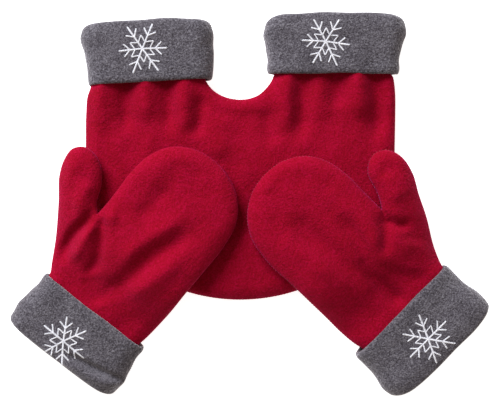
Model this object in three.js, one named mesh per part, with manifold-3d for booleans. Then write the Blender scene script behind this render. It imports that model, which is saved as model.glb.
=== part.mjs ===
// A three-piece fleece mitten set, lying flat: one shared mitten with two arm openings, in which two people hold
// hands, and two single mittens laid over its lower corners. Every mitten is a red fleece shell with a grey fleece
// lining, and has a grey cuff turned back over the wrist with an embroidered snowflake.
// Millimetres, +Z up. The set rests on z = 0, +Y points from the pouch of the shared mitten to its cuffs.
import * as THREE from "three";
import { mergeVertices } from "three/addons/utils/BufferGeometryUtils.js";
import Module from "manifold-3d";

const wasm = await Module();
wasm.setup();
const { clamp, lerp, degToRad, smoothstep } = THREE.MathUtils;

// Fabric, counted inwards from the outer face of the shell.
const SHELL = 2.4;
const PLY_GAP = 0.4;
const LINING = 2.2;
const WALL = SHELL + PLY_GAP + LINING;
const CUFF_CLOTH = 4.4; // two layers of lining fleece
const SEAM_SLOT = 0.9; // each panel's edge stands this far from the seam line
const THREAD_HALF = 0.5;
const THREAD_INSET = 0.4; // the thread stays this far inside both faces of its layer

const SIMPLIFY = 0.06; // the surfaces may be simplified by this much

// Thickness when lying flat.
const PALM_HALF = 10;
const THUMB_HALF = 9;
const WRIST_HALF = 9;
const CUFF_HALF = WRIST_HALF + PLY_GAP + CUFF_CLOTH;
const CROWN = 0.04; // the flats bulge by this share of the half thickness
const TIP_ROUND = 12; // length over which a closed end gets thinner

// Every mitten's wrist and cuff. A cuff's height is from its free edge to its fold, ease is how loosely it goes round
// the wrist each side, flare is how much further it spreads towards the fold, and flake is how far the middle of its
// snowflake is from the free edge.
const WRIST_HALF_WIDTH = 56;
const WRIST_START = 9; // the body narrows to the wrist over this length before the cuff
const MOUTH_INSET = 3; // the shell and lining end this far inside the cuff's fold
const CUFF_EDGE = 2.2; // length over which the cuff's two edges round off
const CUFF_CORNER = 12; // length over which the flare is drawn in again at the fold

// The shared mitten.
const POUCH = { x: -9.5, y: 33.5, halfWidth: 154, depth: 128, top: 97, topRound: 10 };
const ARM_OFFSET = 91.3; // from the middle of the pouch to the middle of each wrist
const ARM_SIDE = 150.5;
const NOTCH = { bottom: 102.5, overlap: 14 };
const ARMS = [
  {
    name: "shared_left",
    side: -1,
    free: 119.5,
    tilt: degToRad(3),
    flake: -5,
    cuff: { height: 64, ease: 2, flare: 4.5, flake: 33 },
  },
  {
    name: "shared_right",
    side: 1,
    free: 128.5,
    tilt: 0,
    flake: -6,
    cuff: { height: 63, ease: 4.5, flare: 5, flake: 33 },
  },
];

// The single mittens, in their own frame: +Y to the fingertips, origin in the middle of the cuff's free edge.
const HAND = { little: 61.5, index: 53, wrist: 57.5, tipStart: 130, length: 190 };
const THUMB = { halfWidth: 22.5, tipStart: 98, length: 122, split: 54.4, splitStart: 12 };
const SINGLES = [
  {
    name: "left",
    side: -1,
    x: -154.5,
    y: -105.5,
    turn: degToRad(-37.7),
    lean: degToRad(34.4),
    base: [38, 20],
    flake: -5,
    cuff: { height: 63, ease: 0.5, flare: 5, flake: 38.5 },
  },
  {
    name: "right",
    side: 1,
    x: 152,
    y: -103.4,
    turn: degToRad(45),
    lean: degToRad(29),
    base: [40.5, 17],
    flake: -3,
    cuff: { height: 66, ease: 2.5, flare: 5, flake: 41 },
  },
];
const LAID_HEIGHT = 21; // the underside of a single mitten where it lies on the shared one
const SLOPE_START = -64; // outside the shared mitten's edge
const SLOPE_END = 1; // inside it

const SNOWFLAKE = { radius: 24.5, stroke: 1.8, thickness: 0.9, lift: 0.9 };

const shellCloth = new THREE.MeshStandardMaterial({ color: 0xa8102e, roughness: 0.95, metalness: 0 });
const greyCloth = new THREE.MeshStandardMaterial({ color: 0x5c565e, roughness: 0.95, metalness: 0 });
const redThread = new THREE.MeshStandardMaterial({ color: 0x8c0c24, roughness: 0.7, metalness: 0 });
const greyThread = new THREE.MeshStandardMaterial({ color: 0x4a464c, roughness: 0.7, metalness: 0 });
const whiteThread = new THREE.MeshStandardMaterial({ color: 0xe8e8ec, roughness: 0.5, metalness: 0 });

// ---- shapes ----

// A flattened tube's section: two round sides one unit in radius, two units apart, and crowned flats between them.
function unitSection() {
  const points = [];
  for (const side of [1, -1]) {
    for (let i = 0; i <= 3; i++) {
      const angle = (side * -Math.PI) / 2 + (side * i * Math.PI) / 3;
      points.push(new THREE.Vector2(side * (1 + Math.abs(Math.cos(angle))), Math.sin(angle)));
    }
    for (const x of [side / 3, -side / 3]) {
      points.push(new THREE.Vector2(x, side * (1 + CROWN * (1 - x * x))));
    }
  }
  return new THREE.Shape(points);
}

// A flattened tube along +Y. section(y) says where its sides are and half its thickness at each station.
function flatTube(stations, section) {
  const steps = stations.length - 1;
  const geometry = new THREE.ExtrudeGeometry(unitSection(), { depth: steps, steps, bevelEnabled: false });
  const position = geometry.getAttribute("position");
  for (let i = 0; i < position.count; i++) {
    const y = stations[Math.round(position.getZ(i))];
    const { left, right, half } = section(y);
    const flat = clamp(position.getX(i), -1, 1);
    const round = position.getX(i) - flat;
    const reach = (right - left) / 2 - half;
    position.setXYZ(i, (left + right) / 2 - flat * reach - round * half, y, position.getY(i) * half);
  }
  return geometry;
}

// How wide an ellipse's quarter is, as a share, at a distance past its start.
const quarter = (past, length) => Math.sqrt(Math.max(0, 1 - Math.min(1, Math.max(0, past) / length) ** 2));

// Stations past start, drawn in for an inset of the closed end.
const drawnIn = (stations, start, length, inset) =>
  stations.map((y) => (y > start ? start + ((y - start) * (length - inset)) / length : y));

function solid(geometry) {
  geometry.deleteAttribute("normal");
  geometry.deleteAttribute("uv");
  const merged = mergeVertices(geometry, 1e-3);
  const vertProperties = merged.getAttribute("position").array;
  const triVerts = new Uint32Array(merged.index.array);
  return new wasm.Manifold(new wasm.Mesh({ numProp: 3, vertProperties, triVerts }));
}

function node(name, made, material) {
  const { numProp, numVert, vertProperties, triVerts } = made.simplify(SIMPLIFY).getMesh();
  const position = new Float32Array(numVert * 3);
  for (let i = 0; i < numVert; i++) {
    position.set(vertProperties.subarray(i * numProp, i * numProp + 3), i * 3);
  }
  const geometry = new THREE.BufferGeometry();
  geometry.setAttribute("position", new THREE.BufferAttribute(position, 3));
  geometry.setIndex(new THREE.BufferAttribute(triVerts, 1));
  geometry.computeVertexNormals();
  const mesh = new THREE.Mesh(geometry, material);
  mesh.name = name;
  return mesh;
}

function moved(geometry, change) {
  const position = geometry.getAttribute("position");
  const p = new THREE.Vector3();
  for (let i = 0; i < position.count; i++) {
    p.fromBufferAttribute(position, i);
    change(p);
    position.setXYZ(i, p.x, p.y, p.z);
  }
  return geometry;
}

// ---- how the mittens lie ----

// The shared mitten: the wrists are lifted by the cloth of the cuffs under them, and an arm may be laid at a tilt.
function laySharedPoint(p) {
  const arm = p.x < POUCH.x ? ARMS[0] : ARMS[1];
  const lifted = smoothstep(p.y, 75, 119);
  const middle = POUCH.x + arm.side * ARM_OFFSET;
  const onArm = smoothstep(arm.side * (p.x - POUCH.x), 10, 30) * smoothstep(p.y, 60, 115);
  p.z = Math.max(0, p.z + lerp(PALM_HALF, CUFF_HALF, lifted));
  p.y += Math.tan(arm.tilt) * (p.x - middle) * onArm;
}

// How far a point of the table is inside the shared mitten's edge.
function depthInPouch(x, y) {
  const across = (x - POUCH.x) / POUCH.halfWidth;
  const below = Math.max(0, POUCH.y - y) / POUCH.depth;
  return (1 - Math.hypot(across, below)) * (POUCH.halfWidth + POUCH.depth) * 0.5;
}

// A single mitten: its cuff lies on the table and its hand over the shared mitten.
function laySinglePoint(mitten, p) {
  const z = Math.max(0, p.z + lerp(CUFF_HALF, PALM_HALF, smoothstep(p.y, 0, 35)));
  const [x, y] = [p.x, p.y];
  p.x = mitten.x + x * Math.cos(mitten.turn) - y * Math.sin(mitten.turn);
  p.y = mitten.y + x * Math.sin(mitten.turn) + y * Math.cos(mitten.turn);
  p.z = z + LAID_HEIGHT * smoothstep(depthInPouch(p.x, p.y), SLOPE_START, SLOPE_END);
}

// ---- the mittens' outer form, inset by any depth of cloth ----

function pouchForm(inset) {
  const { x, y: middle, halfWidth, depth, top, topRound } = POUCH;
  const down = [127.8, 125.5, 119, 107, 83, 48, 0].map((d) => middle - (d * (depth - inset)) / depth);
  const up = [66, top - topRound, top - 0.5 * topRound, top - 0.02 * topRound];
  const stations = [...down, ...drawnIn(up, top - topRound, topRound, inset)];
  return flatTube(stations, (y) => {
    const low = quarter(middle - y, depth - inset);
    const wide = (halfWidth - 3 * smoothstep(y, 50, 100) - inset) * low;
    const ends = quarter(middle - depth + TIP_ROUND - y, TIP_ROUND - inset) * quarter(y - top + topRound, topRound - inset);
    return { left: x - wide, right: x + wide, half: (PALM_HALF - inset) * ends };
  });
}

function armForm(arm, inset, end) {
  const notchTop = arm.free - PLY_GAP;
  const notchDepth = notchTop - NOTCH.bottom + inset;
  const round = [0, 12, 30, 50, 70, 90].map((angle) => notchTop - notchDepth * Math.cos(degToRad(angle)));
  const stations = [55, 84, ...round, notchTop + 30, end].sort((a, b) => a - b);
  return flatTube(stations, (y) => {
    const notch = (ARM_OFFSET - WRIST_HALF_WIDTH + inset) * quarter(notchTop - y, notchDepth);
    const inner = y > notchTop - notchDepth + 1e-6 ? notch : inset - NOTCH.overlap;
    const wrist = smoothstep(y, notchTop - WRIST_START, notchTop);
    const outer = lerp(ARM_SIDE, ARM_OFFSET + WRIST_HALF_WIDTH, wrist) - inset;
    const edges = [POUCH.x + arm.side * inner, POUCH.x + arm.side * outer].sort((a, b) => a - b);
    return { left: edges[0], right: edges[1], half: lerp(PALM_HALF, WRIST_HALF, smoothstep(y, 75, 119)) - inset };
  });
}

// The whole shared mitten. past is how far the arms run on past the mouths, which opens them when it is cut away.
function sharedForm(inset, past = 0) {
  const parts = ARMS.map((arm) => armForm(arm, inset, arm.free + arm.cuff.height - MOUTH_INSET + past));
  return wasm.Manifold.union([pouchForm(inset), ...parts].map((g) => solid(moved(g, laySharedPoint))));
}

function handForm(mitten, inset, past) {
  const { little, index, wrist, tipStart, length } = HAND;
  const tip = length - tipStart;
  const fingers = drawnIn([150, 168, 180, 187, 189.7], tipStart, tip, inset);
  const palm = [PLY_GAP, WRIST_START, 22, 35, 48, 62, 78, 100, tipStart];
  const stations = [MOUTH_INSET - mitten.cuff.height - past, -28, ...palm, ...fingers];
  return flatTube(stations, (y) => {
    const bare = smoothstep(y, PLY_GAP, WRIST_START);
    const tipShare = quarter(y - tipStart, tip - inset);
    const side = (edge) => (lerp(lerp(WRIST_HALF_WIDTH, wrist, bare), edge, smoothstep(y, 6, 40)) - inset) * tipShare;
    const edges = mitten.side > 0 ? [side(little), side(index)] : [side(index), side(little)];
    const half = lerp(WRIST_HALF, PALM_HALF, smoothstep(y, 0, 35)) - inset;
    return { left: -edges[0], right: edges[1], half: half * quarter(y - length + TIP_ROUND, TIP_ROUND - inset) };
  });
}

function thumbForm(mitten, inset) {
  const { halfWidth, tipStart, length } = THUMB;
  const tip = length - tipStart;
  const stations = [inset, 22, 44, 70, tipStart, ...drawnIn([109, 117, 121.6], tipStart, tip, inset)];
  const geometry = flatTube(stations, (y) => {
    const wide = (halfWidth - inset) * quarter(y - tipStart, tip - inset);
    const half = (THUMB_HALF - inset) * quarter(y - length + TIP_ROUND, TIP_ROUND - inset);
    return { left: -wide, right: wide, half };
  });
  geometry.rotateZ(-mitten.side * mitten.lean);
  return geometry.translate(mitten.side * mitten.base[0], mitten.base[1], 0);
}

function singleForm(mitten, inset, past = 0) {
  const parts = [handForm(mitten, inset, past), thumbForm(mitten, inset)];
  return wasm.Manifold.union(parts.map((g) => solid(moved(g, (p) => laySinglePoint(mitten, p)))));
}

// ---- cutting a mitten into its pieces ----

// Everything above a height over the seam line, as a block that is laid as the mitten is.
function above(height, box, cells, lay) {
  const [x0, y0, x1, y1] = box;
  const geometry = new THREE.BoxGeometry(x1 - x0, y1 - y0, 60, ...cells, 1);
  geometry.translate((x0 + x1) / 2, (y0 + y1) / 2, 30 + height);
  return solid(moved(geometry, lay));
}

// A mitten's two plies, each a front panel, a back panel and the seam thread between them.
// form(inset, past) gives the mitten's outer form and cut(height) gives everything above a height.
function plies(form, cut) {
  const layers = [
    { ply: "shell", from: 0, to: SHELL },
    { ply: "lining", from: SHELL + PLY_GAP, to: WALL },
  ];
  return layers.map(({ ply, from, to }) => {
    const cloth = form(from).subtract(form(to, 8));
    const ring = form(from + THREAD_INSET).subtract(form(to - THREAD_INSET, 8));
    return {
      ply,
      front: cloth.intersect(cut(SEAM_SLOT)),
      back: cloth.subtract(cut(-SEAM_SLOT)),
      thread: ring.intersect(cut(-THREAD_HALF)).subtract(cut(THREAD_HALF)),
    };
  });
}

// The largest body first: the pieces that one cut leaves.
const pieces = (made) => made.decompose().sort((a, b) => b.volume() - a.volume());
const largest = (made) => pieces(made)[0];

const clothOf = (ply) => (ply === "shell" ? shellCloth : greyCloth);
const threadOf = (ply) => (ply === "shell" ? redThread : greyThread);

// ---- cuffs, mouth seams and snowflakes, in a wrist's own frame: +Y from the free edge to the fold ----

function cuffGeometry({ height, ease, flare }, inset, stations, edges) {
  return flatTube(stations, (y) => {
    const ends = Math.min(quarter(CUFF_EDGE - y, CUFF_EDGE), quarter(y - height + CUFF_EDGE, CUFF_EDGE));
    const rounding = edges * (1 - ends);
    const spread = flare * smoothstep(y, 0, height * 0.7) * quarter(y - height + CUFF_CORNER, CUFF_CORNER + 0.5);
    const wide = WRIST_HALF_WIDTH + PLY_GAP + CUFF_CLOTH + ease + spread - inset - rounding;
    return { left: -wide, right: wide, half: CUFF_HALF - inset - rounding };
  });
}

function cuff(size, place) {
  const { height } = size;
  const middle = [height / 3, height / 2, height - CUFF_CORNER, height - CUFF_CORNER / 2];
  const outer = cuffGeometry(size, 0, [0.2, CUFF_EDGE, ...middle, height - CUFF_EDGE, height - 0.2], 1.4);
  const inner = cuffGeometry(size, CUFF_CLOTH, [-4, ...middle, height - CUFF_EDGE, height + 0.4, height + 4], 0);
  return solid(moved(outer, place)).subtract(solid(moved(inner, place)));
}

// The thread that joins shell and lining round a mouth.
function mouthSeam({ height }, place) {
  const from = height - MOUTH_INSET + PLY_GAP;
  const ring = (inset, past) =>
    flatTube([from - past, from + 1 + past], () => ({
      left: inset - WRIST_HALF_WIDTH,
      right: WRIST_HALF_WIDTH - inset,
      half: WRIST_HALF - inset,
    }));
  return solid(moved(ring(THREAD_INSET, 0), place)).subtract(solid(moved(ring(WALL - THREAD_INSET, 2), place)));
}

// A six-armed star with one pair of branches on each arm, drawn as one outline.
function snowflakeGeometry() {
  const { radius, stroke, thickness } = SNOWFLAKE;
  const b = stroke / 2;
  const rightSide = [
    [b, 0.52 * radius],
    [0.26 * radius, 0.76 * radius],
    [0.19 * radius, 0.82 * radius],
    [b, 0.66 * radius],
    [b, radius],
  ];
  const arm = [...rightSide, ...rightSide.map(([x, y]) => [-x, y]).reverse()];
  const points = [];
  for (let k = 0; k < 6; k++) {
    const turn = (k * Math.PI) / 3;
    points.push(new THREE.Vector2(0, stroke).rotateAround(new THREE.Vector2(), turn - Math.PI / 6));
    points.push(...arm.map(([x, y]) => new THREE.Vector2(x, y).rotateAround(new THREE.Vector2(), turn)));
  }
  return new THREE.ExtrudeGeometry(new THREE.Shape(points), { depth: thickness, bevelEnabled: false });
}

function snowflake(x, y, turn) {
  const geometry = snowflakeGeometry().rotateZ(turn);
  return solid(geometry.translate(x, y, 2 * CUFF_HALF + SNOWFLAKE.lift));
}

// ---- the set ----

function sharedMitten() {
  const group = new THREE.Group();
  const box = [POUCH.x - 170, -110, POUCH.x + 170, 210];
  const cut = (height) => above(height, box, [2, 8], laySharedPoint);
  for (const { ply, front, back, thread } of plies(sharedForm, cut)) {
    group.add(node(`shared_${ply}_front`, largest(front), clothOf(ply)));
    group.add(node(`shared_${ply}_back`, largest(back), clothOf(ply)));
    const [side, notch] = pieces(thread);
    group.add(node(`shared_${ply}_side_seam`, side, threadOf(ply)));
    group.add(node(`shared_${ply}_notch_seam`, notch, threadOf(ply)));
  }
  for (const arm of ARMS) {
    const middle = POUCH.x + arm.side * ARM_OFFSET;
    const place = (p) => {
      p.x += middle;
      p.y += arm.free;
      laySharedPoint(p);
    };
    group.add(node(`${arm.name}_cuff`, cuff(arm.cuff, place), greyCloth));
    group.add(node(`${arm.name}_mouth_seam`, mouthSeam(arm.cuff, place), greyThread));
    const flake = snowflake(middle + arm.flake, arm.free + arm.cuff.flake, degToRad(28));
    group.add(node(`${arm.name}_snowflake`, flake, whiteThread));
  }
  return group;
}

function singleMitten(mitten) {
  const group = new THREE.Group();
  const { name, side } = mitten;
  const lay = (p) => laySinglePoint(mitten, p);
  const [near, far] = [-side * 75, side * 125];
  const box = [Math.min(near, far), -85, Math.max(near, far), 205];
  const cut = (height) => above(height, box, [6, 9], lay);
  // Everything on the thumb's side of its fold line, leaving a gap between what is cut away and what is kept.
  const thumbSide = (gap) => {
    const { split, splitStart, length } = THUMB;
    const block = new THREE.BoxGeometry(80, length + 30, 120);
    block.translate(side * (split + gap + 40), splitStart + gap + (length + 30) / 2, 20);
    block.rotateZ(mitten.turn);
    return solid(block.translate(mitten.x, mitten.y, 0));
  };
  const [wide, narrow] = [thumbSide(0), thumbSide(1.2)];
  for (const { ply, front, back, thread } of plies((inset, past) => singleForm(mitten, inset, past), cut)) {
    for (const [face, panel] of [["front", front], ["back", back]]) {
      group.add(node(`${name}_${ply}_${face}`, largest(panel.subtract(wide)), clothOf(ply)));
      group.add(node(`${name}_thumb_${ply}_${face}`, largest(panel.intersect(narrow)), clothOf(ply)));
    }
    const [fingers, wrist] = pieces(thread.subtract(wide));
    group.add(node(`${name}_${ply}_finger_seam`, fingers, threadOf(ply)));
    group.add(node(`${name}_${ply}_wrist_seam`, wrist, threadOf(ply)));
    group.add(node(`${name}_thumb_${ply}_seam`, largest(thread.intersect(narrow)), threadOf(ply)));
  }
  const place = (p) => {
    p.x = -p.x;
    p.y = -p.y;
    lay(p);
  };
  group.add(node(`${name}_cuff`, cuff(mitten.cuff, place), greyCloth));
  group.add(node(`${name}_mouth_seam`, mouthSeam(mitten.cuff, place), greyThread));
  const at = new THREE.Vector3(mitten.flake, -mitten.cuff.flake, 0);
  lay(at);
  group.add(node(`${name}_snowflake`, snowflake(at.x, at.y, degToRad(-5)), whiteThread));
  return group;
}

const set = new THREE.Group();
set.add(sharedMitten(), ...SINGLES.map(singleMitten));
export default set;
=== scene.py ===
"""Looks of a fleece mitten set: one shared mitten, and two single ones lying over its lower corners.

Shapes are worked out in millimetres, in the frame of the CAD model, and become metres when a mesh is made.
A panel is a flat outline that puffs up from its seam. A cuff is a profile swept round the wrist.
"""
import math

import bpy
import numpy as np
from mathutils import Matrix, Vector
from mathutils.bvhtree import BVHTree
from mathutils.geometry import delaunay_2d_cdt


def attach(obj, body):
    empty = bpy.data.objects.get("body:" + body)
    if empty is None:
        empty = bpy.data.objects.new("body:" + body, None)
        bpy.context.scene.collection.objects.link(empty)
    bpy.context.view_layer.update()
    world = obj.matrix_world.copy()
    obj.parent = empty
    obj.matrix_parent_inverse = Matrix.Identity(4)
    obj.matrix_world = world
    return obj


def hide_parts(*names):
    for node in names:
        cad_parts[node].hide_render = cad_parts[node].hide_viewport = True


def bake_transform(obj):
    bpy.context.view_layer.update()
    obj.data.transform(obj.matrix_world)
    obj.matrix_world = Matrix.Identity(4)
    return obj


# Thickness of the lying mittens.
PALM_HALF = 10
WRIST_HALF = 9
CUFF_HALF = 13.8
LINING_INSET = 5  # the lining panels lie this far inside the shell
EDGE_ROUND = 13.5  # a panel reaches its full height this far from its seam
CROWN = 1.4  # how much further the middle of a panel or cuff rises

# Panel meshes.
OUTLINE_STEP = 2.6
GRID_STEP = 3.1
RINGS = (0.35, 1.2, 2.8, 5.2, 8.5)  # rows of points beside the seam

# Wrist and cuffs. For its two sides, a cuff's ease is how loosely it goes round the wrist, its flare is how
# much further it spreads towards the fold, and its drop is how much lower the fold is at the corner.
WRIST_HALF_WIDTH = 56
WRIST_ROUND = 13.5
CUFFS = {
    "shared_left": {"height": 63, "ease": (-1, 3), "flare": (7.5, 0), "drop": (4, 8)},
    "shared_right": {"height": 60.5, "ease": (3.2, 6.5), "flare": (3.3, 7), "drop": (9, 4)},
    "left": {"height": 62.5, "ease": (2, -0.5), "flare": (4, 2.5), "drop": (6, 5)},
    "right": {"height": 66, "ease": (0, 6), "flare": (3.5, 4), "drop": (7, 9)},
}
LINING_END = 22  # the lining ends this far inside the cuff's fold
MOUTH_INSET = 11  # the seam round the mouth lies this far inside the fold

# The shared mitten.
POUCH = {"x": -9.5, "y": 33.5, "half_width": 154, "depth": 129.5}
ARM_OFFSET = 91.3
ARMS = {
    "shared_left": {"side": -1, "free": 119.5, "tilt": 3},
    "shared_right": {"side": 1, "free": 128.5, "tilt": 0},
}
OUTER_RIGHT = [(138, 179.5), (138, 132), (142.5, 127), (144.2, 119), (145.2, 108), (145.5, 90), (145, 55)]
OUTER_LEFT = [(-163.5, 60), (-163, 90), (-161, 108), (-158, 116), (-157, 124), (-157, 171.5)]
NOTCH = [
    (-44.8, 173), (-44.8, 125), (-41, 118), (-36, 112.5), (-27, 107), (-18, 104.4), (-9.5, 103.5), (0, 104.5),
    (9, 108), (16, 114), (22, 122), (25.2, 130), (26.3, 176),
]

# The single mittens, in their own frame: the free edge of the cuff is at 0, and the fingertips at 190.
HAND_LEFT = [
    (56, -51.5), (56.5, 0), (58, 8), (60, 25), (61.5, 45), (62, 70), (63, 95), (63.5, 130), (59, 155),
    (45.5, 174), (24, 186.5), (2, 190), (-20, 186), (-38, 174), (-49, 155), (-53, 133), (-53, 110),
    (-53, 92), (-54, 79),
]
THUMB_LEFT = [
    (-54, 79), (-61, 85), (-68, 101.5), (-80, 117), (-91, 123), (-106, 122), (-113, 114), (-113, 100),
    (-108, 86), (-94, 66), (-76.5, 38), (-61.5, 10), (-57, 2), (-56, -3), (-56, -51.5),
]
HAND_RIGHT = [
    (-56, -52), (-57, 0), (-58.5, 6), (-60.5, 25), (-60.5, 45), (-61, 90), (-62, 130), (-57, 155), (-44, 174),
    (-24, 186.5), (-2, 190), (20, 186), (38, 174), (49, 155), (53, 133), (53, 110), (53, 92), (53, 83.7),
]
THUMB_RIGHT = [
    (53, 83.7), (57.5, 90), (62.4, 100), (69.6, 119.7), (77, 126), (89, 128), (99.5, 120.5), (103.5, 108),
    (100.5, 89), (90.5, 69.5), (80, 46.4), (63, 15.8), (57.5, 2), (56, -5), (56, -52),
]
SINGLES = {
    "left": {"side": -1, "x": -154.5, "y": -105.5, "turn": -37.7, "hand": HAND_LEFT, "thumb": THUMB_LEFT},
    "right": {"side": 1, "x": 152, "y": -103.4, "turn": 45, "hand": HAND_RIGHT, "thumb": THUMB_RIGHT},
}
THUMB_CREASE = ((53.5, 84), (60, -58))  # the line the thumb folds on, for a thumb on the positive side
CREASE_WIDTH = 9
LAID_HEIGHT = 21  # the underside of a single mitten where it lies on the shared one
SLOPE_START = -64  # it starts to rise this far outside the shared pouch's edge,
SLOPE_END = 1  # and lies flat on top this far inside it

# Soft folds: points along it, half width, height.
SHARED_FOLDS = [
    ([(-122, 140), (-123, 90), (-121, 66)], 8, -7.0),
    ([(-84, 140), (-80, 90), (-79, 66)], 8, -6.2),
    ([(-47, 108), (-50, 85), (-52, 62)], 7, -4.7),
    ([(16, 95), (20, 74), (22, 55)], 9, -3.4),
    ([(54, 142), (52, 90), (48, 56)], 9, -7.0),
    ([(86, 142), (88, 90)], 9, -4.7),
    ([(124, 142), (128, 90), (126, 58)], 9, -7.0),
    ([(-103, 140), (-102, 76)], 8, 4.0),
    ([(-64, 138), (-63, 66)], 9, 3.7),
    ([(-146, 134), (-146, 66)], 9, 3.1),
    ([(107, 140), (110, 80)], 9, 4.0),
    ([(37, 132), (36, 66)], 9, 3.7),
    ([(-20, 90), (-30, 40)], 16, 2.5),
    ([(10, 30), (-4, -40)], 16, -2.5),
]
LEFT_FOLDS = [
    ([(-55, 88), (-58, 66), (-61, 48), (-59, 30), (-51, 14)], 5.5, -8.5),
    ([(-54, 84), (-41, 68), (-32, 54), (-26, 37), (-27, 16)], 6, -7.1),
    ([(34, 128), (14, 80), (4, 34), (-10, 6)], 10, -6.8),
    ([(-24, 26), (4, 6)], 12, -4.0),
    ([(-14, 145), (-18, 92)], 10, -3.7),
    ([(13, 124), (0, 84), (-11, 50)], 10, 4.4),
    ([(39, 96), (29, 61), (21, 27)], 10, 4.4),
    ([(-51, 74), (-48, 50), (-44, 22)], 6, 4.4),
    ([(-80, 100), (-72, 66)], 9, 2.5),
    ([(-47, 78), (-36, 92)], 7, 2.8),
]
RIGHT_FOLDS = [
    ([(53, 88), (50, 74), (54, 62), (68, 55)], 5, -7.0),
    ([(51, 82), (39, 66), (17, 50)], 7, -5.6),
    ([(-13, 146), (-15, 116), (-11, 72), (-14, 36)], 11, -5.9),
    ([(22, 112), (16, 80), (8, 60), (-10, 48)], 9, -6.2),
    ([(1, 56), (1, 27), (4, -3)], 7, -6.2),
    ([(28, 124), (25, 92), (23, 66), (20, 36)], 9, 4.0),
    ([(-39, 136), (-33, 103), (-33, 66)], 10, 3.7),
    ([(56, 42), (23, 22)], 20, 4.9),
    ([(82, 108), (72, 76)], 10, 2.8),
]

# Creases on the front of a cuff, in the same form. Their points are across, and up from the free edge.
CUFF_CREASES = {
    "shared_left": [([(-40, 6), (-36, 52)], 14, -0.8), ([(38, 58), (44, 12)], 12, -1.2)],
    "shared_right": [([(-42, 54), (-46, 8)], 12, -1.0), ([(46, 6), (50, 54)], 12, -1.2)],
    "left": [
        ([(-4, 50), (-31, 45.4), (-76, 36.5)], 3.6, -6.2),
        ([(-6, 58), (-40, 53), (-72, 46)], 6, 3),
        ([(36, 12), (30, 50)], 14, -1.2),
    ],
    "right": [([(-44, 6), (-62, 28)], 10, -1.8), ([(30, 10), (24, 50)], 14, -1.2)],
}

# Embroidery: the middle of each snowflake in the mitten's own frame, and the direction in degrees and the
# length of its six arms.
FLAKES = {
    "shared_left": {
        "middle": (-105.4, 152.4),
        "arms": [(2, 24.3), (68, 26.6), (125, 26.5), (186, 23.4), (249, 26), (306, 26.8)],
    },
    "shared_right": {
        "middle": (75.2, 159.5),
        "arms": [(-8, 23.7), (58.5, 25.1), (118.5, 24.9), (177, 23.8), (239, 24.9), (295, 26.3)],
    },
    "left": {
        "middle": (-4.4, -41.2),
        "arms": [(119, 24.5), (61.5, 24.9), (-3, 26.5), (-56, 24.2), (-112, 22.8), (179, 24.8)],
    },
    "right": {
        "middle": (-4.2, -38.1),
        "arms": [(66, 25.5), (0, 24.7), (-55, 27), (-116, 25.3), (-179, 25.5), (124.5, 25.8)],
    },
}
FLAKE = {"arm": 1.8, "barb_at": 0.52, "barb": 9, "barb_width": 1.5, "apex": 13.5, "shoulder": 7.5}
STITCH_PITCH = 0.42
STITCH_RADIUS = 0.24
STITCH_SLANT = 0.35
SEAM_PITCH = 1.5  # points along a seam; every second one carries a stitch
SEAM_THREAD_RADIUS = 0.3
FOLD_DEPTH = 7  # stitches follow the cuff over its fold this far down

# Where each group of pieces starts its random bumps.
SEEDS = {"shared": 40, "single": 60, "shared_cuff": 80, "single_cuff": 110}

# Light and camera, in metres.
SOFT_BOX = {"place": (-1.5, 2.35, 1.8), "size": 1.9, "energy": 186, "colour": (0.94, 0.98, 1.06)}
SKY = {"colour": (1.0, 0.86, 0.74, 1), "strength": 0.36}
CAMERA_PLACE = (-0.001, 0.003, 1.185)
CAMERA_LENS = 85
FLOOR_HALF = 4
FLOOR_LEVEL = -0.0004
FLOOR_GLOW = 0.85


# ---- numbers and curves ----

def smooth(x, start, end):
    """0 before start, 1 after end, and an even rise between them."""
    t = np.clip((np.asarray(x, float) - start) / (end - start), 0, 1)
    return t * t * (3 - 2 * t)


def noise(x, y, size, seed):
    """Smooth random bumps between -1 and 1, about size across."""
    table = np.random.default_rng(seed).uniform(-1, 1, (64, 64))
    u, v = np.asarray(x) / size + 500, np.asarray(y) / size + 500
    i, j = np.floor(u).astype(int), np.floor(v).astype(int)
    fu, fv = smooth(u - i, 0, 1), smooth(v - j, 0, 1)

    def at(di, dj):
        return table[(i + di) % 64, (j + dj) % 64]

    low = at(0, 0) * (1 - fu) + at(1, 0) * fu
    high = at(0, 1) * (1 - fu) + at(1, 1) * fu
    return low * (1 - fv) + high * fv


def curve(points, step):
    """Evenly spaced points on a smooth curve through the given ones."""
    p = np.array(points, float)
    along = np.r_[0, np.cumsum(np.hypot(*np.diff(p, axis=0).T))]
    slope = np.gradient(p, along, axis=0)
    s = np.linspace(0, along[-1], max(2, round(along[-1] / step)) + 1)
    i = np.clip(np.searchsorted(along, s, side="right") - 1, 0, len(p) - 2)
    span = (along[i + 1] - along[i])[:, None]
    t = (s - along[i])[:, None] / span
    ends = p[i] * (1 + 2 * t) * (1 - t) ** 2 + p[i + 1] * t * t * (3 - 2 * t)
    return ends + span * (slope[i] * t * (1 - t) ** 2 - slope[i + 1] * t * t * (1 - t))


def nearest(points, line):
    """Each point's distance to a polyline, the closest point on it, and its share of the way along."""
    a, b = line[:-1], line[1:]
    d = b - a
    length = np.hypot(d[:, 0], d[:, 1])
    start = np.r_[0, np.cumsum(length)[:-1]]
    found = []
    for some in np.array_split(points, max(1, len(points) // 2000)):
        t = np.clip(((some[:, None] - a) * d).sum(2) / length**2, 0, 1)
        closest = a + t[..., None] * d
        away = np.hypot(*(some[:, None] - closest).transpose(2, 0, 1))
        i, row = away.argmin(1), np.arange(len(some))
        share = (start[i] + t[row, i] * length[i]) / length.sum()
        found.append(np.c_[away[row, i], closest[row, i], share])
    found = np.concatenate(found)
    return found[:, 0], found[:, 1:3], found[:, 3]


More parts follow.
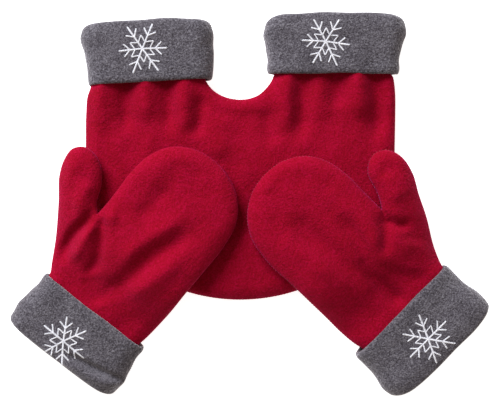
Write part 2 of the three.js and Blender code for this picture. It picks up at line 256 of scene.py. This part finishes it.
def nearest_of(points, lines):
    """Distance to the nearest of several polylines, and the closest point on it."""
    found = [nearest(points, line) for line in lines]
    away = np.array([f[0] for f in found])
    best, row = away.argmin(0), np.arange(len(points))
    return away[best, row], np.array([f[1] for f in found])[best, row]


def inside(points, loop):
    """Which points lie within a closed polyline."""
    a, b = loop, np.roll(loop, -1, axis=0)
    x, y = points[:, :1], points[:, 1:]
    crosses = (a[:, 1] > y) != (b[:, 1] > y)
    with np.errstate(divide="ignore", invalid="ignore"):
        at = a[:, 0] + (y - a[:, 1]) * (b[:, 0] - a[:, 0]) / (b[:, 1] - a[:, 1])
    return (crosses & (x < at)).sum(1) % 2 == 1


def folds(points, strokes):
    """Height added by soft folds that fade out at both ends."""
    height = np.zeros(len(points))
    for line, width, amount in strokes:
        away, _, share = nearest(points, curve(line, 6))
        ends = smooth(share, -0.1, 0.25) * (1 - smooth(share, 0.7, 1))
        height += amount * np.exp(-((away / width) ** 2)) * ends
    return height


# ---- where the pieces lie ----

def depth_in_pouch(x, y):
    """How far a point is inside the shared mitten's pouch, or negative outside it."""
    across = (x - POUCH["x"]) / POUCH["half_width"]
    down = np.maximum(0, POUCH["y"] - y) / POUCH["depth"]
    return (1 - np.hypot(across, down)) * (POUCH["half_width"] + POUCH["depth"]) / 2


def lay_shared(p):
    """The shared mitten rises towards its thicker cuffs, whose backs lie on the ground."""
    rise = PALM_HALF + (CUFF_HALF - PALM_HALF) * smooth(p[:, 1], 75, 119)
    return np.c_[p[:, :2], np.maximum(0, p[:, 2] + rise)]


def lay_single(p, mitten):
    """From a single mitten's own frame to its place, sloping up onto the shared one."""
    z = np.maximum(0, p[:, 2] + CUFF_HALF + (PALM_HALF - CUFF_HALF) * smooth(p[:, 1], 0, 35))
    c, s = math.cos(math.radians(mitten["turn"])), math.sin(math.radians(mitten["turn"]))
    x = mitten["x"] + c * p[:, 0] - s * p[:, 1]
    y = mitten["y"] + s * p[:, 0] + c * p[:, 1]
    return np.c_[x, y, z + LAID_HEIGHT * smooth(depth_in_pouch(x, y), SLOPE_START, SLOPE_END)]


def lay_arm(p, arm):
    """From a shared cuff's own frame to its place, with the arm's tilt."""
    middle = POUCH["x"] + arm["side"] * ARM_OFFSET
    y = arm["free"] + p[:, 1] + math.tan(math.radians(arm["tilt"])) * p[:, 0]
    return lay_shared(np.c_[p[:, 0] + middle, y, p[:, 2]])


def flat_points(p):
    """Plane points with a height of zero."""
    return np.c_[p, np.zeros(len(p))]


# ---- meshes ----

def piece(name, points, faces, material, levels=1):
    """A smooth mesh piece from points in millimetres."""
    mesh = bpy.data.meshes.new(name)
    mesh.from_pydata((np.asarray(points) * 0.001).tolist(), [], [list(map(int, f)) for f in faces])
    mesh.polygons.foreach_set("use_smooth", [True] * len(mesh.polygons))
    mesh.materials.append(material)
    obj = bpy.data.objects.new(name, mesh)
    bpy.context.collection.objects.link(obj)
    if levels:
        subdivision = obj.modifiers.new("soft", "SUBSURF")
        subdivision.levels = subdivision.render_levels = levels
    return obj


def flat_mesh(sides, mouths):
    """Points and triangles that fill an outline: rows of points follow the sides, a grid fills the rest."""
    loop = np.concatenate([line[:-1] for pair in zip(sides, mouths) for line in pair if line is not None])
    turn = np.sign((loop[:, 0] * np.roll(loop[:, 1], -1) - np.roll(loop[:, 0], -1) * loop[:, 1]).sum())
    rows = []
    for line in sides:
        tangent = np.gradient(line, axis=0)
        tangent /= np.hypot(tangent[:, 0], tangent[:, 1])[:, None]
        inward = turn * np.c_[-tangent[:, 1], tangent[:, 0]]
        for ring in RINGS:
            row = line + inward * ring
            rows.append(row[nearest_of(row, sides)[0] > 0.93 * ring])
    low, high = loop.min(0), loop.max(0)
    xs, ys = np.meshgrid(np.arange(low[0], high[0], GRID_STEP), np.arange(low[1], high[1], GRID_STEP * 0.866))
    xs[1::2] += GRID_STEP / 2
    grid = np.c_[xs.ravel(), ys.ravel()]
    grid = grid[inside(grid, loop)]
    rows.append(grid[nearest_of(grid, sides)[0] > RINGS[-1] + GRID_STEP / 2])
    extra = np.concatenate(rows)
    extra = extra[inside(extra, loop) & (nearest(extra, np.r_[loop, loop[:1]])[0] > 0.3)]
    points = np.r_[loop, extra]
    edges = [(i, (i + 1) % len(loop)) for i in range(len(loop))]
    made = delaunay_2d_cdt([Vector(p) for p in points], edges, [], 1, 1e-6)
    return np.array([tuple(p) for p in made[0]]), np.array(made[2])


def offset(line, by):
    """A polyline moved sideways, to its left where by is positive."""
    tangent = np.gradient(line, axis=0)
    tangent /= np.hypot(tangent[:, 0], tangent[:, 1])[:, None]
    return line + by * np.c_[-tangent[:, 1], tangent[:, 0]]


def panels(name, sides, mouths, half, lay, strokes, seed, material):
    """The front and back panels of a lying bag. They meet in a grooved seam, and puff up from it."""
    flat, faces = flat_mesh(sides, mouths)
    away, closest = nearest_of(flat, sides)
    away[away < 1e-3] = 0
    full = np.clip(away / EDGE_ROUND, 0, 1)
    height = half(flat) * np.sqrt(1 - (1 - full) ** 2) + CROWN * smooth(away, 8, 50)
    groove = 0.8 * (1 - np.exp(-away / 0.25)) * (1 - smooth(away, 1, 8))
    out = (closest - flat) / np.maximum(away, 1e-6)[:, None]
    spread = flat + out * groove[:, None]
    x, y = flat.T
    made = []
    for face, sign in (("front", 1), ("back", -1)):
        start = seed + sign
        bumps = (1.2 * noise(x, y, 40, start) + 1.1 * noise(x, y * 0.35, 17, start + 5)) * smooth(away, 4, 18)
        bumps += (0.4 * noise(x, y, 10, start + 10) + 0.16 * noise(x, y, 4, start + 20)) * smooth(away, 0, 3)
        if sign > 0:
            bumps += folds(flat, strokes) * smooth(away, 1, 10)
        points = lay(np.c_[spread, sign * height + bumps * (1 if sign > 0 else 0.5)])
        obj = piece(f"{name}_{face}_cloth", points, faces[:, ::sign], material)
        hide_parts(f"{name}_{face}")
        made.append(obj)
    return made


def oval():
    """Round the wrist: points across and up, with the outward direction at each."""
    turn = np.radians(np.linspace(-90, 90, 13))
    side = np.c_[WRIST_HALF_WIDTH - WRIST_ROUND + WRIST_ROUND * np.cos(turn), WRIST_HALF * np.sin(turn)]
    out = np.c_[np.cos(turn) / WRIST_ROUND, np.sin(turn) / WRIST_HALF]
    out /= np.hypot(out[:, 0], out[:, 1])[:, None]
    x = np.linspace(side[-1, 0], -side[-1, 0], 26)[1:-1]
    flat, up = np.c_[x, np.full(len(x), WRIST_HALF)], np.tile([0.0, 1.0], (len(x), 1))
    half = np.r_[side, flat], np.r_[out, up]
    return np.r_[half[0], -half[0]], np.r_[half[1], -half[1]]


def cuff(name, lay, seed, material):
    """A cuff of doubled lining turned back over the wrist: inner face, fold, outer face and free edge."""
    size = CUFFS[name]
    h = size["height"] - 1.2
    profile = curve(
        [
            (6, -5.8), (h - 22, -5.8), (h - 6, -5.4), (h - 0.3, -3.6), (h + 1.2, 0), (h - 0.3, 3.8),
            (h - 6, 5.6), (h / 2, 6.1), (9, 5.7), (3, 5.2), (0.7, 4.3), (0, 2.9), (0.8, 1.5), (3, 0.8),
            (10, 0.7), (26, 0.7),
        ],
        1.9,
    )
    section, out = oval()
    along, round_ = len(profile), len(section)
    y, proud = (np.repeat(profile[:, k], round_) for k in (0, 1))
    base, outward = np.tile(section, (along, 1)), np.tile(out, (along, 1))
    outer = smooth(proud, -5, 0)
    x = base[:, 0] + outward[:, 0] * proud
    ease, flare, drop = (np.where(x < 0, *size[key]) for key in ("ease", "flare", "drop"))
    wide = (ease + flare * smooth(y, h * 0.25, h * 0.9)) * outer
    wide += (ease + flare) * smooth(y, h - 24, h) * (1 - outer)
    x += np.sign(x) * wide * smooth(abs(x), 10, 45)
    z = base[:, 1] + outward[:, 1] * proud
    face = np.sign(z) * 200  # the two faces take their bumps from different places
    middle = 1 - np.clip(x / WRIST_HALF_WIDTH, -1, 1) ** 2
    z += np.sign(z) * CROWN * middle * (z * z > 1)
    lift = outer * smooth(abs(z), 4, 9) * np.sign(z)
    z += lift * (0.9 * noise(x + face, y, 26, seed) + 0.35 * noise(x + face, y, 8, seed + 1))
    z += np.where(z > 0, lift, 0) * folds(np.c_[x, y], CUFF_CREASES[name])
    x += np.sign(x) * 1.3 * noise(y, 0 * y, 13, seed + 4) * smooth(abs(x), 45, 62) * outer * smooth(y, 4, 12)
    y = y - drop * (abs(x) / 68) ** 5 * smooth(y, h * 0.5, h)
    y += 1.1 * noise(x + face, 0 * y, 30, seed + 2) * (1 - smooth(y, 0, 20)) * outer
    y += 0.9 * noise(x + face, 0 * y, 24, seed + 3) * smooth(y, h - 20, h)
    faces = []
    for i in range(along - 1):
        for j in range(round_):
            k = (j + 1) % round_
            faces.append((i * round_ + j, i * round_ + k, (i + 1) * round_ + k, (i + 1) * round_ + j))
    obj = piece(f"{name}_cuff_cloth", lay(np.c_[x, y, z]), faces, material)
    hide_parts(f"{name}_cuff")
    return obj


def threads(name, paths, radius, material):
    """Short threads along paths, an array of points for each thread, thinner at their ends."""
    paths = np.asarray(paths, float)
    count, steps = paths.shape[:2]
    tangent = np.gradient(paths, axis=1)
    tangent /= np.linalg.norm(tangent, axis=2, keepdims=True)
    side = np.cross(tangent, [0.0, 0.0, 1.0])
    side /= np.maximum(np.linalg.norm(side, axis=2, keepdims=True), 1e-6)
    up = np.cross(side, tangent)
    taper = radius * np.interp(np.linspace(0, 1, steps), [0, 0.3, 0.7, 1], [0.55, 1, 1, 0.55])[None, :, None]
    rings = []
    for turn in np.arange(5) * 2 * np.pi / 5:
        rings.append(paths + taper * (np.cos(turn) * side + np.sin(turn) * up))
    points = np.stack(rings, axis=2).reshape(-1, 3)
    faces = []
    for n in range(count):
        for i in range(steps - 1):
            for j in range(5):
                a, b = (n * steps + i) * 5 + j, (n * steps + i) * 5 + (j + 1) % 5
                faces.append((a, b, b + 5, a + 5))
    return piece(name, points, faces, material, levels=0)


# ---- embroidery and seams ----

def snowflake_strokes(flake):
    """The lines of a snowflake: both ends and the width of each."""
    arms = sorted((math.radians(turn) % (2 * math.pi), reach) for turn, reach in flake["arms"])
    lines = []

    def at(turn, distance):
        return np.array([math.cos(turn), math.sin(turn)]) * distance

    for k, (turn, reach) in enumerate(arms):
        lines.append((at(turn, 0), at(turn, reach), FLAKE["arm"]))
        knee = at(turn, FLAKE["barb_at"] * reach)
        for bend in (-0.8, 0.8):
            lines.append((knee, knee + at(turn + bend, FLAKE["barb"]), FLAKE["barb_width"]))
        step = (arms[(k + 1) % 6][0] - turn) % (2 * math.pi)
        tip = at(turn + step / 2, FLAKE["apex"])
        for share in (0.08, 0.92):
            lines.append((at(turn + step * share, FLAKE["shoulder"]), tip, 1.3))
    return lines


def snowflake(name, flake, cuff_piece, lay_flat, material):
    """Satin stitches across each line of a snowflake, lying on the cuff."""
    surface = BVHTree.FromObject(cuff_piece, bpy.context.evaluated_depsgraph_get())
    rng = np.random.default_rng(7)
    paths = []
    for start, end, width in snowflake_strokes(flake):
        length = np.hypot(*(end - start))
        along = (end - start) / length
        across = np.array([-along[1], along[0]])
        slant = along * STITCH_SLANT
        for s in np.arange(STITCH_PITCH / 2, length, STITCH_PITCH):
            half = width / 2 * min(1, 0.45 + s / 1.5, 0.45 + (length - s) / 1.5) + rng.uniform(-0.08, 0.08)
            t = np.linspace(-1, 1, 5)[:, None]
            path = start + along * (s + rng.uniform(-0.06, 0.06)) + (across + slant) * half * t
            paths.append(np.c_[path, 0.42 * np.sqrt(1 - 0.92 * t**2)])
    paths = np.array(paths)
    flat = lay_flat(paths.reshape(-1, 3)[:, :2] + np.array(flake["middle"]))
    for p, lift in zip(flat, paths.reshape(-1, 3)[:, 2]):
        over = Vector((p[0] * 0.001, p[1] * 0.001, 0.2))
        hit = surface.ray_cast(over, Vector((0, 0, -1)))[0] or surface.find_nearest(over)[0]
        p[2] = hit.z * 1000 + lift - 0.1
    flat = flat.reshape(paths.shape)
    flat = flat[flat[:, :, 2].min(1) > flat[:, :, 2].max() - FOLD_DEPTH]
    obj = threads(f"{name}_snowflake_stitches", flat, STITCH_RADIUS, material)
    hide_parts(f"{name}_snowflake")
    return obj


def seam_stitches(name, sides, lay, material, nodes):
    """Overlock thread that wraps the seam between the front and back panels."""
    paths = []
    for line in sides:
        line = curve(line, SEAM_PITCH)
        tangent = np.gradient(line, axis=0)
        tangent /= np.hypot(tangent[:, 0], tangent[:, 1])[:, None]
        out = np.c_[-tangent[:, 1], tangent[:, 0]]
        for p, t, n in zip(line[::2], tangent[::2], out[::2]):
            ts = np.linspace(-1, 1, 5)
            flat = p + np.outer(0.5 * ts, t) + np.outer(0.25 * (1 - ts**2), n)
            paths.append(np.c_[flat, 0.8 * ts])
    points = lay(np.array(paths).reshape(-1, 3)).reshape(len(paths), 5, 3)
    obj = threads(name, points, SEAM_THREAD_RADIUS, material)
    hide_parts(*nodes)
    return obj


def mouth_stitches(name, body, lay, material):
    """Overlock thread that joins shell and lining round a mouth, hidden inside the cuff's fold."""
    y = CUFFS[name]["height"] - MOUTH_INSET + np.linspace(-1, 1, 5)
    paths = [np.c_[np.full(5, x), y, np.full(5, z)] for x, z in curve(oval()[0], 2 * SEAM_PITCH)]
    points = lay(np.array(paths).reshape(-1, 3)).reshape(len(paths), 5, 3)
    obj = threads(f"{name}_mouth_stitches", points, SEAM_THREAD_RADIUS, material)
    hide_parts(f"{name}_mouth_seam")
    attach(obj, body)


# ---- materials ----

def new_material(name):
    material = bpy.data.materials.new(name)
    material.use_nodes = True
    tree = material.node_tree
    shader = tree.nodes["Principled BSDF"]
    where = tree.nodes.new("ShaderNodeTexCoord").outputs["Object"]
    return material, tree, shader, where


def noise_node(tree, where, scale, detail=2.0, roughness=0.5, distortion=0.0):
    node = tree.nodes.new("ShaderNodeTexNoise")
    node.inputs["Scale"].default_value = scale
    node.inputs["Detail"].default_value = detail
    node.inputs["Roughness"].default_value = roughness
    node.inputs["Distortion"].default_value = distortion
    tree.links.new(where, node.inputs["Vector"])
    return node.outputs["Fac"]


def ramp(tree, value, stops):
    node = tree.nodes.new("ShaderNodeValToRGB")
    elements = node.color_ramp.elements
    while len(elements) < len(stops):
        elements.new(0.5)
    for element, (position, colour) in zip(elements, stops):
        element.position = position
        element.color = (*colour, 1)
    tree.links.new(value, node.inputs["Fac"])
    return node.outputs["Color"]


def math_node(tree, operation, a, b):
    node = tree.nodes.new("ShaderNodeMath")
    node.operation = operation
    for socket, value in zip(node.inputs, (a, b)):
        if isinstance(value, (int, float)):
            socket.default_value = value
        else:
            tree.links.new(value, socket)
    return node.outputs["Value"]


def fleece(name, dark, mid, light, sheen, sheen_tint, relief):
    """Brushed fleece: short tangled nap, small tufts, and patches where the nap lies differently."""
    material, tree, shader, where = new_material(name)
    nap = noise_node(tree, where, 750, 3, 0.6, 0.3)
    tufts = noise_node(tree, where, 430, 2, 0.5, 0.5)
    patches = noise_node(tree, where, 60, 2, 0.5)
    mottle = math_node(tree, "MULTIPLY", nap, 0.6)
    for noise_value, share in ((tufts, 0.28), (patches, 0.12)):
        mottle = math_node(tree, "ADD", mottle, math_node(tree, "MULTIPLY", noise_value, share))
    tree.links.new(ramp(tree, mottle, [(0.38, dark), (0.5, mid), (0.62, light)]), shader.inputs["Base Color"])
    height = math_node(tree, "ADD", math_node(tree, "MULTIPLY", nap, 0.5), tufts)
    bump = tree.nodes.new("ShaderNodeBump")
    bump.inputs["Strength"].default_value = 0.75
    bump.inputs["Distance"].default_value = relief
    tree.links.new(height, bump.inputs["Height"])
    tree.links.new(bump.outputs["Normal"], shader.inputs["Normal"])
    shader.inputs["Roughness"].default_value = 1.0
    shader.inputs["Specular IOR Level"].default_value = 0.1
    shader.inputs["Sheen Weight"].default_value = sheen
    shader.inputs["Sheen Roughness"].default_value = 0.4
    shader.inputs["Sheen Tint"].default_value = (*sheen_tint, 1)
    return material


def thread(name, dark, light, roughness):
    """Twisted sewing thread, with slight changes of tone."""
    material, tree, shader, where = new_material(name)
    tone = noise_node(tree, where, 500, 2)
    tree.links.new(ramp(tree, tone, [(0.35, dark), (0.65, light)]), shader.inputs["Base Color"])
    twist = tree.nodes.new("ShaderNodeTexWave")
    twist.inputs["Scale"].default_value = 1400
    twist.inputs["Distortion"].default_value = 2
    tree.links.new(where, twist.inputs["Vector"])
    bump = tree.nodes.new("ShaderNodeBump")
    bump.inputs["Strength"].default_value = 0.3
    bump.inputs["Distance"].default_value = 0.0001
    tree.links.new(twist.outputs["Fac"], bump.inputs["Height"])
    tree.links.new(bump.outputs["Normal"], shader.inputs["Normal"])
    shader.inputs["Roughness"].default_value = roughness
    shader.inputs["Sheen Weight"].default_value = 0.3
    return material


def floor_material():
    """Smooth white paper with a trace of grain."""
    material, tree, shader, where = new_material("floor")
    tone = noise_node(tree, where, 60, 3)
    white = ramp(tree, tone, [(0.3, (0.93, 0.93, 0.93)), (0.7, (0.95, 0.95, 0.95))])
    tree.links.new(white, shader.inputs["Base Color"])
    shader.inputs["Roughness"].default_value = 0.9
    shader.inputs["Specular IOR Level"].default_value = 0.1
    shader.inputs["Emission Color"].default_value = (1, 1, 1, 1)
    shader.inputs["Emission Strength"].default_value = FLOOR_GLOW
    return material


# ---- the set ----

def mouth(start, end):
    """A straight open end between two points of an outline."""
    steps = max(2, round(float(np.hypot(*(np.array(end) - start))) / GRID_STEP))
    return np.linspace(start, end, steps + 1)


def trimmed(line, ends):
    """The part of an outline below the heights at which the lining ends, at its start and at its end."""
    first_half = np.arange(len(line)) < len(line) // 2
    return line[line[:, 1] < np.where(first_half, *ends)]


def shared_sides():
    """The outline's two sides: down the right arm, round the pouch and up the left one, and the notch."""
    turns = np.radians(np.linspace(0, 180, 15))
    across, down = POUCH["half_width"] * np.cos(turns), POUCH["depth"] * np.sin(turns)
    pouch = np.c_[POUCH["x"] + across, POUCH["y"] - down]
    outer = curve([*OUTER_RIGHT, *pouch.tolist(), *OUTER_LEFT], OUTLINE_STEP)
    return outer, curve(NOTCH, OUTLINE_STEP)


def shared_mitten(layers):
    outer, notch = shared_sides()

    def half(inset):
        return lambda p: PALM_HALF - (PALM_HALF - WRIST_HALF) * smooth(p[:, 1], 95, 119) - inset

    for layer, inset, cloth, sewn in layers:
        sides = [outer, notch]
        if inset:
            folds_at = [ARMS[arm]["free"] + CUFFS[arm]["height"] for arm in ("shared_right", "shared_left")]
            ends = [at - LINING_END for at in folds_at]
            sides = [offset(trimmed(outer, ends), -inset), offset(trimmed(notch, ends[::-1]), -inset)]
        mouths = [mouth(sides[0][-1], sides[1][0]), mouth(sides[1][-1], sides[0][0])]
        made = panels(f"shared_{layer}", sides, mouths, half(inset), lay_shared, SHARED_FOLDS,
                      SEEDS["shared"], cloth)
        nodes = [f"shared_{layer}_side_seam", f"shared_{layer}_notch_seam"]
        for obj in (*made, seam_stitches(f"shared_{layer}_stitches", sides, lay_shared, sewn, nodes)):
            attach(obj, "shared_mitten")


def crease_blend(obj, mitten):
    """Works out where the thumb's crease lies, which nothing then uses, and bakes the piece's placement into
    its mesh.
    """
    top, bottom = (np.array([mitten["side"] * p[0], p[1]]) for p in THUMB_CREASE)
    along = (bottom - top) / np.hypot(*(bottom - top))
    out = np.array([-along[1], along[0]])
    out *= np.sign(out[0]) * mitten["side"]
    ends = np.array([[*top, 0], [*(top + CREASE_WIDTH * out), 0]])
    start, end = lay_single(ends, mitten)
    end[2] = start[2]
    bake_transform(obj)


def single_mitten(name, mitten, strokes, layers):
    hand, thumb = curve(mitten["hand"], OUTLINE_STEP), curve(mitten["thumb"], OUTLINE_STEP)
    inward = -mitten["side"]

    def lay(p):
        return lay_single(p, mitten)

    def half(inset):
        return lambda p: WRIST_HALF + (PALM_HALF - WRIST_HALF) * smooth(p[:, 1], 0, 35) - inset

    for layer, inset, cloth, sewn in layers:
        sides = [hand, thumb]
        if inset:
            end = LINING_END - CUFFS[name]["height"]
            whole = [offset(side[side[:, 1] > end], inward * inset) for side in sides]
            sides = [curve(np.concatenate(whole)[::3], OUTLINE_STEP)]
        mouths = [None] * (len(sides) - 1) + [mouth(sides[-1][-1], sides[0][0])]
        made = panels(f"{name}_{layer}", sides, mouths, half(inset), lay, strokes,
                      SEEDS["single"] + mitten["side"] * 3, cloth)
        for obj, face in zip(made, ("front", "back")):
            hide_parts(f"{name}_thumb_{layer}_{face}")
            crease_blend(obj, mitten)
        nodes = [f"{name}_{layer}_finger_seam", f"{name}_{layer}_wrist_seam", f"{name}_thumb_{layer}_seam"]
        crease_blend(seam_stitches(f"{name}_{layer}_stitches", sides, lay, sewn, nodes), mitten)


def cuffs(grey, white, grey_thread):
    """The four cuffs, each with its snowflake and the seam inside its fold."""

    def dress(name, body, seed, lay, lay_flake):
        cloth = cuff(name, lay, seed, grey)
        for part in (cloth, snowflake(name, FLAKES[name], cloth, lay_flake, white)):
            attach(part, f"{name}_cuff")
        mouth_stitches(name, body, lay, grey_thread)

    for count, (name, arm) in enumerate(ARMS.items()):
        dress(name, "shared_mitten", SEEDS["shared_cuff"] + 10 * count,
              lambda p: lay_arm(p, arm), flat_points)
    for count, (name, mitten) in enumerate(SINGLES.items()):
        dress(name, f"{name}_mitten", SEEDS["single_cuff"] + 10 * count,
              lambda p: lay_single(p * [-1, -1, 1], mitten), lambda p: lay_single(flat_points(p), mitten))


def studio():
    """A white floor, one large soft light from the upper left, a faint warm sky and the camera overhead."""
    floor = bpy.data.meshes.new("floor")
    corners = [(x * FLOOR_HALF, y * FLOOR_HALF, FLOOR_LEVEL) for x, y in ((-1, -1), (1, -1), (1, 1), (-1, 1))]
    floor.from_pydata(corners, [], [(0, 1, 2, 3)])
    floor.materials.append(floor_material())
    ground = bpy.data.objects.new("floor", floor)
    bpy.context.collection.objects.link(ground)

    light = bpy.data.lights.new("soft_box", "AREA")
    light.size = SOFT_BOX["size"]
    light.energy = SOFT_BOX["energy"]
    light.color = SOFT_BOX["colour"]
    lamp = bpy.data.objects.new("soft_box", light)
    lamp.location = SOFT_BOX["place"]
    lamp.rotation_euler = lamp.location.to_track_quat("Z", "Y").to_euler()
    lamp.visible_camera = False
    bpy.context.collection.objects.link(lamp)

    world = bpy.data.worlds.new("studio")
    world.use_nodes = True
    sky = world.node_tree.nodes["Background"]
    sky.inputs["Color"].default_value = SKY["colour"]
    sky.inputs["Strength"].default_value = SKY["strength"]
    bpy.context.scene.world = world

    camera = bpy.data.cameras.new("camera")
    camera.lens = CAMERA_LENS
    seat = bpy.data.objects.new("camera", camera)
    seat.location = CAMERA_PLACE
    bpy.context.collection.objects.link(seat)
    bpy.context.scene.camera = seat
    bpy.context.scene.view_settings.view_transform = "Standard"


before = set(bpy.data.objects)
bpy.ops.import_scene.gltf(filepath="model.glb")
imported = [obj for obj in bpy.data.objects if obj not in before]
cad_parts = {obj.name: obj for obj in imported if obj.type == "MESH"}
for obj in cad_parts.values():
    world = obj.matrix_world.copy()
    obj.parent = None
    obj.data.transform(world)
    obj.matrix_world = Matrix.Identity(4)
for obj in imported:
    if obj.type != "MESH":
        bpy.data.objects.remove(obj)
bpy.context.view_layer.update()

red = fleece(
    "red_fleece", dark=(0.21, 0.0003, 0.006), mid=(0.285, 0.0006, 0.015), light=(0.36, 0.0016, 0.031),
    sheen=0.28, sheen_tint=(1.0, 0.06, 0.42), relief=0.0011,
)
grey = fleece(
    "grey_fleece", dark=(0.036, 0.032, 0.038), mid=(0.098, 0.089, 0.104), light=(0.205, 0.195, 0.215),
    sheen=0.6, sheen_tint=(1.0, 0.96, 0.98), relief=0.0019,
)
red_thread = thread("red_thread", (0.2, 0.002, 0.012), (0.32, 0.006, 0.03), 0.7)
grey_thread = thread("grey_thread", (0.06, 0.056, 0.062), (0.1, 0.095, 0.105), 0.7)
white = thread("white_embroidery", (0.72, 0.73, 0.78), (0.92, 0.92, 0.95), 0.45)

layers = (("shell", 0, red, red_thread), ("lining", LINING_INSET, grey, grey_thread))
shared_mitten(layers)
for name, mitten in SINGLES.items():
    single_mitten(name, mitten, LEFT_FOLDS if name == "left" else RIGHT_FOLDS, layers)
cuffs(grey, white, grey_thread)
studio()
